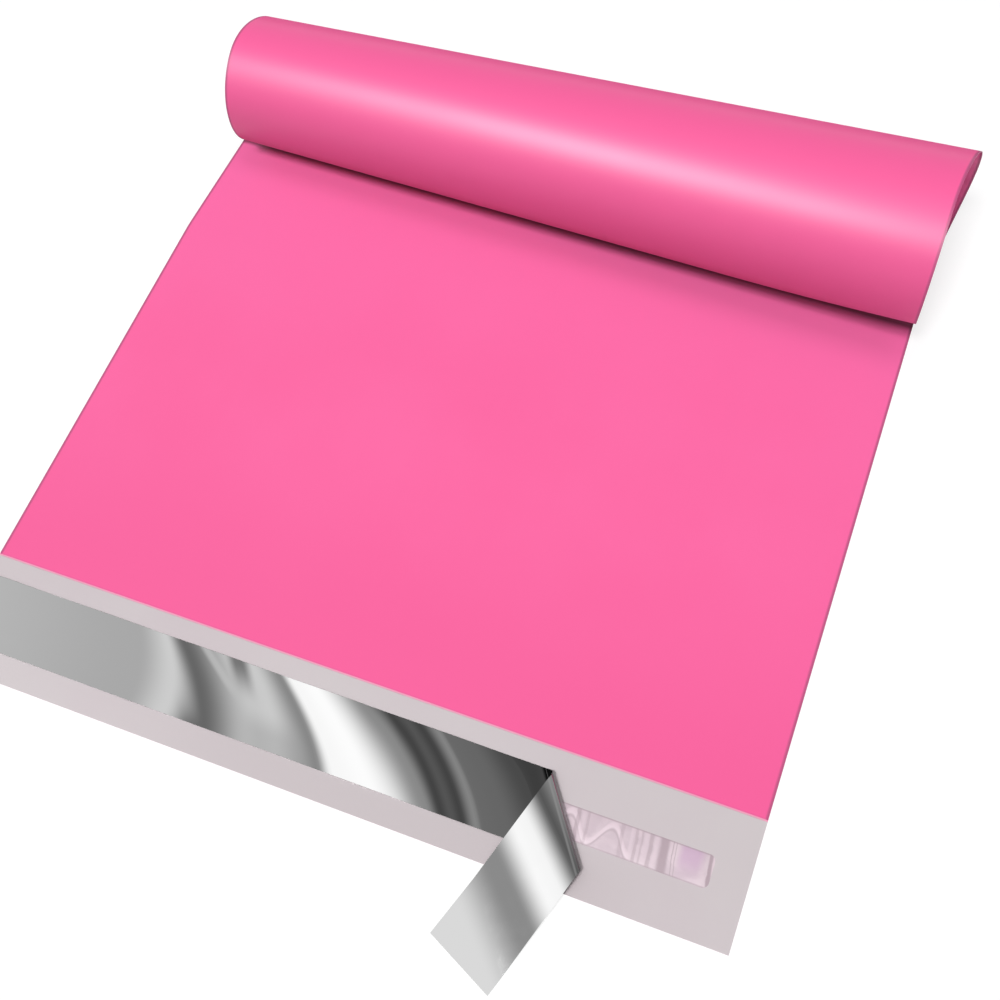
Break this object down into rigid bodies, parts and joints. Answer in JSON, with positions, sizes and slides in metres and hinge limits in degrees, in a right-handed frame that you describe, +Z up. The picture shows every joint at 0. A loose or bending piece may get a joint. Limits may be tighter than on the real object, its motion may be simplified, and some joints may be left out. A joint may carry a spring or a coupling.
{
  "type": "poly mailer bag",
  "caption": "Flat pink film mailing bag with an open adhesive flap, a partly peeled release liner and a curled closed end.",
  "frame": {"origin": "on the floor under the middle of the bag's mouth, on the back panel's flat underside", "axes": "+X along the mouth, +Y from the mouth towards the closed end, +Z up"},
  "size_m": [0.254, 0.2864, 0.058],
  "materials": {
    "bag_film": "satin pink film outside, gray film on the inner face",
    "adhesive": "translucent hot-melt adhesive",
    "release_liner": "bright silver film"
  },
  "bodies": {
    "root": {"bag_film": "bag_film", "adhesive_strip": "adhesive", "release_liner": "release_liner"}
  },
  "joints": []
}
